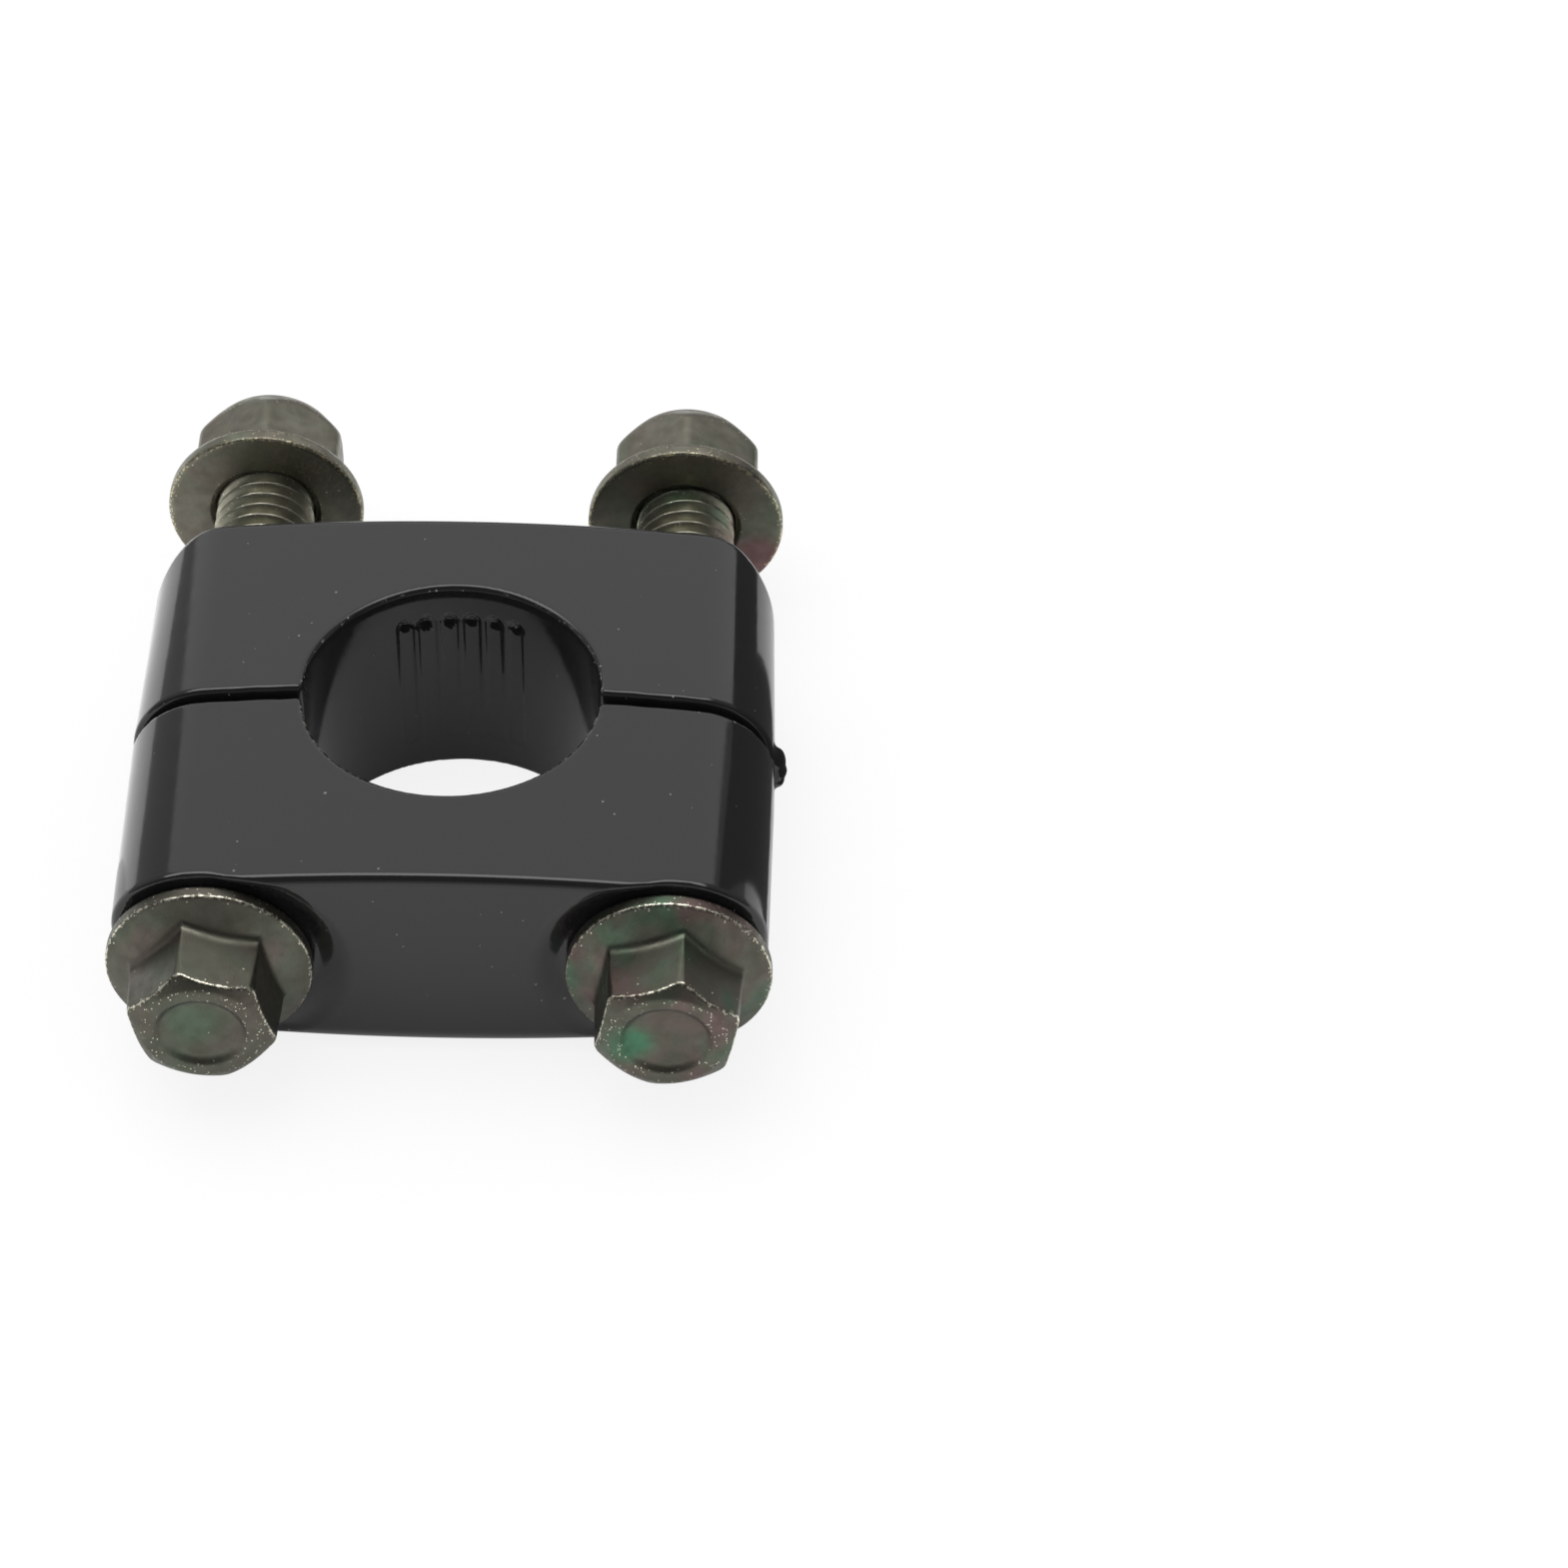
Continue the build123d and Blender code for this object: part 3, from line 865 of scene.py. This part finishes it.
def paint_material(name, settings, seed):
    """Gloss paint with dust, waves and thin worn edges, whose lighter edge colour is also a painted
    highlight.
    """
    material, tree, shader = new_material(name)
    place = (seed, seed * 0.37, seed * 0.71)
    broad = place_group(
        tree, speck_group, Seed=place, Spacing=0.8, Size=0.13, Amount=settings.dust * 0.3)
    small = place_group(
        tree, speck_group, Seed=(seed + 40, 3, 9), Spacing=2.0, Size=0.06,
        Amount=settings.dust * 1.3)
    dust = maths(tree, "MAXIMUM", broad, small)
    wear_and_highlight = place_group(
        tree, wear_and_highlight_group, Seed=place, Edge=edge_value(tree), Break_Up=0.5, Spot_Spacing=0.25,
        Spot_Share=0.06, Amount=settings.edge_wear_and_highlight)
    ripple = place_group(tree, ripple_group, Seed=place, Wave=2.4, Grain=0.45, Grain_Share=0.22)
    # Worn paint and painted highlights along the marked edges.
    colour = mix_colour(tree, wear_and_highlight, settings.colour, settings.worn_and_highlight_colour)
    colour = mix_colour(tree, dust, colour, settings.dust_colour)
    rough = ramp(tree, ripple, 0.3, 0.9, settings.roughness, settings.roughness + 0.06)
    rough = maths(tree, "ADD", rough, times(tree, dust, 0.5))
    height = maths(tree, "ADD", ripple, times(tree, dust, 0.8))
    set_surface(tree, shader, colour, rough, height, 0.5, settings.ripple_depth)
    return material


def zinc_material(name, settings, near, far, worn, seed, tints):
    """Zinc plating, from its near colour to its far one along the bolt, with tints, and wear with
    painted highlights on the edges.
    """
    material, tree, shader = new_material(name)
    place = (seed, seed * 0.53, seed * 0.29)
    drift, spot, spot_reach, spot_strength, spot_cool = tints
    along = add_node(tree, "ShaderNodeSeparateXYZ", Vector=own_place(tree)).outputs["Y"]
    # Painted sheen: on the bolts the far colour is lighter and stands in for the glints of the
    # threads beyond the base.
    base = mix_colour(tree, ramp(tree, along, 10.0 * MM, 19.0 * MM), near, far)
    tint = place_group(
        tree, tint_group, Seed=place, Base=base, Warm=settings.warm_tint, Cool=settings.cool_tint,
        Patch=4.5, Strength=drift * settings.tint_strength, Spot=spot, Spot_Reach=spot_reach,
        Spot_Strength=spot_strength, Spot_Cool=spot_cool)
    wear_and_highlight = place_group(
        tree, wear_and_highlight_group, Seed=place, Edge=edge_value(tree), Break_Up=0.3, Spot_Spacing=0.14,
        Spot_Share=0.34, Amount=settings.edge_wear_and_highlight)
    specks = place_group(tree, speck_group, Seed=place, Spacing=0.9, Size=0.1, Amount=0.3)
    scuffs = place_group(tree, scuff_group, Seed=place, Length=1.6, Amount=settings.scuffs)
    ripple = place_group(tree, ripple_group, Seed=place, Wave=1.2, Grain=0.12, Grain_Share=0.45)
    mottle = times(tree, ramp(tree, ripple, 0.4, 1.0), 0.35)
    colour = mix_colour(tree, mottle, tint, settings.shade_colour)
    # Worn spots and painted highlights along the marked edges, with bright specks.
    bright = maths(tree, "MAXIMUM", wear_and_highlight, times(tree, specks, 0.6))
    colour = mix_colour(tree, bright, colour, worn)
    rough = ramp(tree, ripple, 0.35, 1.05, settings.roughness - 0.06, settings.roughness + 0.1)
    rough = maths(tree, "SUBTRACT", rough, times(tree, wear_and_highlight, 0.1))
    height = maths(tree, "SUBTRACT", ripple, times(tree, scuffs, 0.5))
    shader.inputs["Metallic"].default_value = 1.0
    set_surface(tree, shader, colour, rough, height, 0.6, settings.grain_depth)
    return material


# Settings

def colour_setting(name, description, value):
    return bpy.props.FloatVectorProperty(
        name=name, description=description, default=value, subtype="COLOR", size=3,
        min=0.0, max=1.0)


def number_setting(name, description, value, most=1.0, least=0.0):
    return bpy.props.FloatProperty(
        name=name, description=description, default=value, min=least, max=most)


class ClampPaintSettings(bpy.types.PropertyGroup):
    colour: colour_setting("Paint", "Colour of the gloss paint", (0.012, 0.012, 0.0125))
    # Colour of the worn paint on the edges, which also serves as a painted highlight.
    worn_and_highlight_colour: colour_setting(
        "Worn Edge and Highlight", "Colour of the thin worn spots on the edges", (0.22, 0.21, 0.19))
    roughness: number_setting("Roughness", "Roughness of the paint", 0.09)
    ripple_depth: number_setting(
        "Ripple", "Depth of the paint's waves in millimetres", 0.02, most=0.5)
    # How strongly the edges show worn paint and painted highlights.
    edge_wear_and_highlight: number_setting("Edge Wear and Highlight", "How much of the edges is worn", 0.42)
    dust_colour: colour_setting("Dust Colour", "Colour of the dust specks", (0.19, 0.185, 0.17))
    dust: number_setting("Dust", "Share of places that hold a dust speck", 0.3)
    cell: number_setting(
        "Mesh Cell", "Spacing of the mesh over the halves in millimetres", 0.25, least=0.15)


class ClampZincSettings(bpy.types.PropertyGroup):
    bolt_colour: colour_setting(
        "Bolt Plating", "Colour of the bolts' plating", (0.122, 0.119, 0.097))
    # Painted sheen: lighter colour on the threads that stands in for their glints.
    thread_sheen_colour: colour_setting(
        "Thread Sheen", "Colour of the threads' plating", (0.40, 0.39, 0.31))
    nut_colour: colour_setting("Nut Plating", "Colour of the nuts' plating", (0.2, 0.192, 0.155))
    # Bright colour of the bolts' worn edges, which also serves as a painted highlight.
    worn_and_highlight_colour: colour_setting("Worn Edge and Highlight", "Colour of the bright worn edges", (0.86, 0.82, 0.68))
    # Golden colour of the nuts' worn rims, which also serves as a painted highlight.
    nut_rim_wear_and_highlight_colour: colour_setting(
        "Nut Rim Wear and Highlight", "Golden colour of the nuts' worn rims", (0.72, 0.64, 0.42))
    shade_colour: colour_setting(
        "Mottle", "Darker colour that mottles the plating", (0.07, 0.07, 0.05))
    warm_tint: colour_setting("Warm Tint", "Pink drift of the plating", (0.23, 0.115, 0.13))
    cool_tint: colour_setting("Cool Tint", "Green drift of the plating", (0.07, 0.21, 0.12))
    tint_strength: number_setting("Tint Strength", "Strength of the drift all over", 0.14)
    roughness: number_setting("Roughness", "Roughness of the plating", 0.37)
    # How strongly the zinc's edges show wear and painted highlights.
    edge_wear_and_highlight: number_setting("Edge Wear and Highlight", "How much of the edges is worn bright", 0.46)
    scuffs: number_setting("Scuffs", "Amount of fine scratches", 0.4)
    grain_depth: number_setting(
        "Grain", "Depth of the plating's grain in millimetres", 0.03, most=0.5)


class ClampStudioSettings(bpy.types.PropertyGroup):
    floor_colour: colour_setting("Floor", "Colour of the floor", (0.9, 0.9, 0.9))
    ambient: number_setting("Ambient", "Strength of the soft light from all round", 0.7, most=5.0)
    panel_strength: number_setting(
        "Panel", "Brightness of the panel behind, as gloss shows it", 1.1, most=5.0)
    sheet_strength: number_setting(
        "Sheet", "Brightness of the sheet on the floor, as gloss shows it", 1.45, most=5.0)
    room_strength: number_setting(
        "Room", "Brightness of the rest of the room, as gloss shows it", 0.07, most=5.0)
    overhead_strength: number_setting(
        "Overhead", "Brightness of the strip overhead, as gloss shows it", 3.8, most=5.0)
    left_strength: number_setting(
        "Left Wall", "Brightness of the room's left side, as gloss shows it", 0.42, most=5.0)
    right_strength: number_setting(
        "Right Wall", "Brightness of the room's right side, as gloss shows it", 0.3, most=5.0)
    front_strength: number_setting(
        "Front", "Brightness low down on the camera's side, as gloss shows it", 0.5, most=5.0)
    floor_glow: number_setting("Floor Glow", "How white the floor looks to the camera", 0.84)
    floor_gloss: number_setting("Floor in Gloss", "How white the floor looks in gloss", 0.16)
    lamp_power: number_setting("Lamp", "Power of the soft lamp in watts", 1.5, most=100.0)
    focal_pixels: number_setting(
        "Focal Length", "Focal length in pixels of a 1569 pixel frame", 5103.3,
        most=20000.0, least=100.0)


# Operators

class CLAMP_OT_painted_halves(bpy.types.Operator):
    """Builds the painted halves of the clamp, with the paint run at the split"""
    bl_idname = "clamp.painted_halves"
    bl_label = "Painted Halves"

    def execute(self, context):
        settings = context.scene.clamp_paint
        for name, node, body, field, corners, seed in (
            ("painted_cap", "cap_half", "cap", cap_field, CAP_CORNERS, 5.0),
            ("painted_base", "base_half", "base", base_field, BASE_CORNERS, 23.0),
        ):
            points, quads = grid_surface(field, *corners, settings.cell)
            points = settle_on(field, points)
            points = even_out(field, points, quads)
            normals = field_slope(field, points)
            marks = {"edge": wear_and_highlight_marks(name, points)}
            piece = make_mesh(name, points, quads.tolist(), normals, marks)
            piece.data.materials.append(paint_material("gloss_paint_" + body, settings, seed))
            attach(piece, body)
            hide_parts(node)
        return {"FINISHED"}


def wear_and_highlight_marks(name, p):
    """Marks the edges of a half's faces, where the paint is thin, for worn paint and painted
    highlights; the bore's upper rim is marked twice as strongly as its lower one.
    """
    x, y, z = p[:, 0], p[:, 1], p[:, 2]
    radial = np.abs(np.hypot(x, y) - BORE_RADIUS)
    section = np.abs(block_section(x, z) + np.abs(y) * math.tan(DRAFT))
    joint = np.abs(y + JOINT_GAP if name == "painted_cap" else y)
    rim = np.clip((RIM_MARK - np.hypot(radial, section)) / MARK_FADE, 0.0, 1.0)
    from_split = np.hypot(joint, np.minimum(section, radial))
    split = np.clip((SPLIT_MARK - from_split) / MARK_FADE, 0.0, 1.0)
    return np.maximum(rim * np.where(z > 0, 1.0, 0.5), 0.6 * split)


class CLAMP_OT_bolts(bpy.types.Operator):
    """Builds both flange bolts with their threads"""
    bl_idname = "clamp.bolts"
    bl_label = "Flange Bolts"

    def execute(self, context):
        settings = context.scene.clamp_zinc
        for side, centre_x, turn, seed, tints in (
            ("left", -BOLT_X, 45.0, 3.0, (1.0, (-17.5, -26.5, 0.5), 4.0, 0.3, 1.0)),
            ("right", BOLT_X, 18.5, 17.0, (3.2, (14.3, -26.5, -0.6), 3.2, 0.9, 1.0)),
        ):
            piece = build_bolt("flange_bolt_" + side, centre_x, math.radians(turn))
            piece.data.materials.append(
                zinc_material(
                    "zinc_bolt_" + side, settings, settings.bolt_colour, settings.thread_sheen_colour,
                    settings.worn_and_highlight_colour, seed, tints))
            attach(piece, side + "_bolt")
            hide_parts("bolt_" + side)
        return {"FINISHED"}


class CLAMP_OT_nuts(bpy.types.Operator):
    """Builds both flange nuts"""
    bl_idname = "clamp.nuts"
    bl_label = "Flange Nuts"

    def execute(self, context):
        settings = context.scene.clamp_zinc
        for side, centre_x, bearing, seed, tints in (
            ("left", -BOLT_X, 29.6, 29.0, (1.0, (-12.0, 30.0, 4.0), 3.0, 0.1, 0.0)),
            ("right", BOLT_X, 28.75, 41.0, (1.5, (22.5, 28.8, -3.0), 4.5, 0.8, 0.0)),
        ):
            piece = build_nut("flange_nut_" + side, centre_x, bearing, math.radians(30.0))
            piece.data.materials.append(
                zinc_material(
                    "zinc_nut_" + side, settings, settings.nut_colour, settings.nut_colour,
                    settings.nut_rim_wear_and_highlight_colour, seed, tints))
            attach(piece, side + "_nut")
            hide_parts("nut_" + side)
        return {"FINISHED"}


def direction_window(tree, value, low, high, soft):
    """1 between low and high, with edges of this softness."""
    rise = ramp(tree, value, low - soft, low + soft)
    fall = ramp(tree, value, high + soft, high - soft)
    return times(tree, rise, fall)


def mix_number(tree, share, a, b):
    node = add_node(tree, "ShaderNodeMix", {"data_type": "FLOAT"}, Factor=share, A=a, B=b)
    return node.outputs["Result"]


def studio_world(settings):
    """White to the camera; gloss sees a bright strip overhead, dim walls and a dark room."""
    world = bpy.data.worlds.new("studio")
    world.use_nodes = True
    bpy.context.scene.world = world
    tree = world.node_tree
    background = tree.nodes["Background"]
    background.inputs["Color"].default_value = (1.0, 1.0, 1.0, 1.0)
    path = tree.nodes.new("ShaderNodeLightPath").outputs
    outward = tree.nodes.new("ShaderNodeTexCoord").outputs["Generated"]
    direction = add_node(tree, "ShaderNodeSeparateXYZ", Vector=outward)
    side, ahead, height = (direction.outputs[axis] for axis in "XYZ")
    square = maths(tree, "ADD", times(tree, ahead, ahead), times(tree, height, height))
    reach = maths(tree, "MAXIMUM", maths(tree, "SQRT", square), 0.05)
    across = maths(tree, "DIVIDE", side, reach)
    climb = maths(tree, "ARCTAN2", height, ahead)
    overhead = direction_window(tree, across, -0.7, 0.45, 0.06)
    parts = (
        (overhead, (66.0, 96.0, 3.0), settings.overhead_strength),
        (ramp(tree, side, -0.3, -0.42), (-10.0, 100.0, 5.0), settings.left_strength),
        (ramp(tree, side, 0.4, 0.5), (-10.0, 100.0, 5.0), settings.right_strength),
        (1.0, (158.0, 190.0, 8.0), settings.front_strength),
    )
    gloss = settings.room_strength
    for window, degrees, strength in parts:
        band = direction_window(tree, climb, *(math.radians(angle) for angle in degrees))
        gloss = maths(tree, "MAXIMUM", gloss, times(tree, times(tree, window, band), strength))
    seen = maths(tree, "MAXIMUM", path["Is Camera Ray"], path["Is Transmission Ray"])
    level = mix_number(tree, path["Is Glossy Ray"], settings.ambient, gloss)
    tree.links.new(mix_number(tree, seen, level, 1.0), background.inputs["Strength"])


def flat_face(name, corners):
    """Object of one face over corners in metres."""
    mesh = bpy.data.meshes.new(name)
    mesh.from_pydata(corners, [], [tuple(range(len(corners)))])
    piece = bpy.data.objects.new(name, mesh)
    bpy.context.scene.collection.objects.link(piece)
    return piece


def matt_glow(name):
    """Material without gloss that can glow white."""
    material, tree, shader = new_material(name)
    shader.inputs["Roughness"].default_value = 0.9
    shader.inputs["Specular IOR Level"].default_value = 0.0
    shader.inputs["Emission Color"].default_value = (1.0, 1.0, 1.0, 1.0)
    return material, tree, shader


def studio_floor(settings, height):
    """Wide floor, nearly white to the camera and dim in the gloss."""
    square = ((-1, -1), (1, -1), (1, 1), (-1, 1))
    corners = [(FLOOR_REACH * x, FLOOR_REACH * y, height) for x, y in square]
    floor = flat_face("studio_floor", corners)
    material, tree, shader = matt_glow("pale_floor")
    path = tree.nodes.new("ShaderNodeLightPath").outputs
    seen = maths(tree, "MAXIMUM", path["Is Camera Ray"], path["Is Transmission Ray"])
    faint = tuple(0.2 * part for part in settings.floor_colour)
    colour = mix_colour(tree, seen, settings.floor_colour, faint)
    tree.links.new(colour, shader.inputs["Base Color"])
    glow = maths(tree, "ADD", times(tree, seen, settings.floor_glow),
                 times(tree, path["Is Glossy Ray"], settings.floor_gloss))
    tree.links.new(glow, shader.inputs["Emission Strength"])
    floor.data.materials.append(material)


def gloss_card(name, corners, colour, glow):
    """Flat card, its corners in millimetres, that only gloss sees."""
    card = flat_face(name, [tuple(part * MM for part in corner) for corner in corners])
    material, _, shader = matt_glow(name + "_face")
    shader.inputs["Base Color"].default_value = (*colour, 1.0)
    shader.inputs["Emission Strength"].default_value = glow
    card.data.materials.append(material)
    for kind in ("camera", "diffuse", "transmission", "volume_scatter", "shadow"):
        setattr(card, "visible_" + kind, False)


def soft_lamp(name, power):
    """Square area lamp aimed at the clamp, unseen by camera and gloss."""
    lamp = bpy.data.lights.new(name, "AREA")
    lamp.shape = "RECTANGLE"
    lamp.size = lamp.size_y = LAMP_SIZE
    lamp.energy = power
    holder = bpy.data.objects.new(name, lamp)
    holder.location = LAMP_PLACE
    holder.rotation_euler = (-Vector(LAMP_PLACE)).to_track_quat("-Z", "Y").to_euler()
    holder.visible_glossy = False
    holder.visible_camera = False
    bpy.context.scene.collection.objects.link(holder)


def photo_camera(settings):
    """Camera fitted to the round edges of the bore, flanges and threads."""
    pitch, yaw, roll, offset = CAMERA_PITCH, CAMERA_YAW, CAMERA_ROLL, CAMERA_OFFSET
    right = Vector((math.cos(yaw), -math.sin(yaw), 0.0))
    level, steep = math.cos(pitch), math.sin(pitch)
    forward = Vector((math.sin(yaw) * level, math.cos(yaw) * level, -steep))
    up = Vector((math.sin(yaw) * steep, math.cos(yaw) * steep, level))
    place = -offset.x * right - offset.z * forward - offset.y * up
    place -= Vector((0.0, 0.0, HALF_THICKNESS))
    image_right = math.cos(roll) * right + math.sin(roll) * up
    image_up = math.cos(roll) * up - math.sin(roll) * right
    data = bpy.data.cameras.new("photo_camera")
    data.sensor_width = SENSOR_WIDTH
    data.lens = SENSOR_WIDTH * settings.focal_pixels / PHOTO_WIDTH
    data.clip_start = 0.01
    camera = bpy.data.objects.new("photo_camera", data)
    turn = Matrix((image_right, image_up, -forward)).transposed()
    camera.matrix_world = Matrix.Translation(place * MM) @ turn.to_4x4()
    bpy.context.scene.collection.objects.link(camera)
    bpy.context.scene.camera = camera


class CLAMP_OT_studio(bpy.types.Operator):
    """Sets up the floor, the soft light and the camera"""
    bl_idname = "clamp.studio"
    bl_label = "Studio"

    def execute(self, context):
        settings = context.scene.clamp_studio
        context.scene.view_settings.view_transform = "Standard"
        studio_world(settings)
        studio_floor(settings, CAD_BOX[0][2])
        black = (0.0, 0.0, 0.0)
        gloss_card("window_panel", WINDOW_PANEL, black, settings.panel_strength)
        gloss_card("side_flag", [(FLAG_X, y, z) for y, z in FLAG_OUTLINE], FLAG_COLOUR, FLAG_GLOW)
        gloss_card("pale_sheet", [(x, y, SHEET_HEIGHT) for x, y in SHEET_OUTLINE], black,
                   settings.sheet_strength)
        soft_lamp("soft_lamp", settings.lamp_power)
        photo_camera(settings)
        return {"FINISHED"}


class CLAMP_PT_panel(bpy.types.Panel):
    bl_label = "Bar Clamp"
    bl_idname = "CLAMP_PT_panel"
    bl_space_type = "VIEW_3D"
    bl_region_type = "UI"
    bl_category = "Bar Clamp"

    def draw(self, context):
        for name, _ in SETTINGS:
            settings = getattr(context.scene, name)
            box = self.layout.box()
            for key in settings.bl_rna.properties.keys():
                if key not in ("rna_type", "name"):
                    box.prop(settings, key)
        for operator in OPERATORS:
            self.layout.operator(operator.bl_idname)


SETTINGS = (
    ("clamp_paint", ClampPaintSettings),
    ("clamp_zinc", ClampZincSettings),
    ("clamp_studio", ClampStudioSettings),
)
OPERATORS = (CLAMP_OT_painted_halves, CLAMP_OT_bolts, CLAMP_OT_nuts, CLAMP_OT_studio)


def register():
    for name, settings in SETTINGS:
        bpy.utils.register_class(settings)
        setattr(bpy.types.Scene, name, bpy.props.PointerProperty(type=settings))
    for item in OPERATORS + (CLAMP_PT_panel,):
        bpy.utils.register_class(item)


def unregister():
    for item in reversed(OPERATORS + (CLAMP_PT_panel,)):
        bpy.utils.unregister_class(item)
    for name, settings in reversed(SETTINGS):
        delattr(bpy.types.Scene, name)
        bpy.utils.unregister_class(settings)


def main():
    register()
    bpy.ops.clamp.painted_halves()
    bpy.ops.clamp.bolts()
    bpy.ops.clamp.nuts()
    bpy.ops.clamp.studio()


if __name__ == "__main__":
    main()
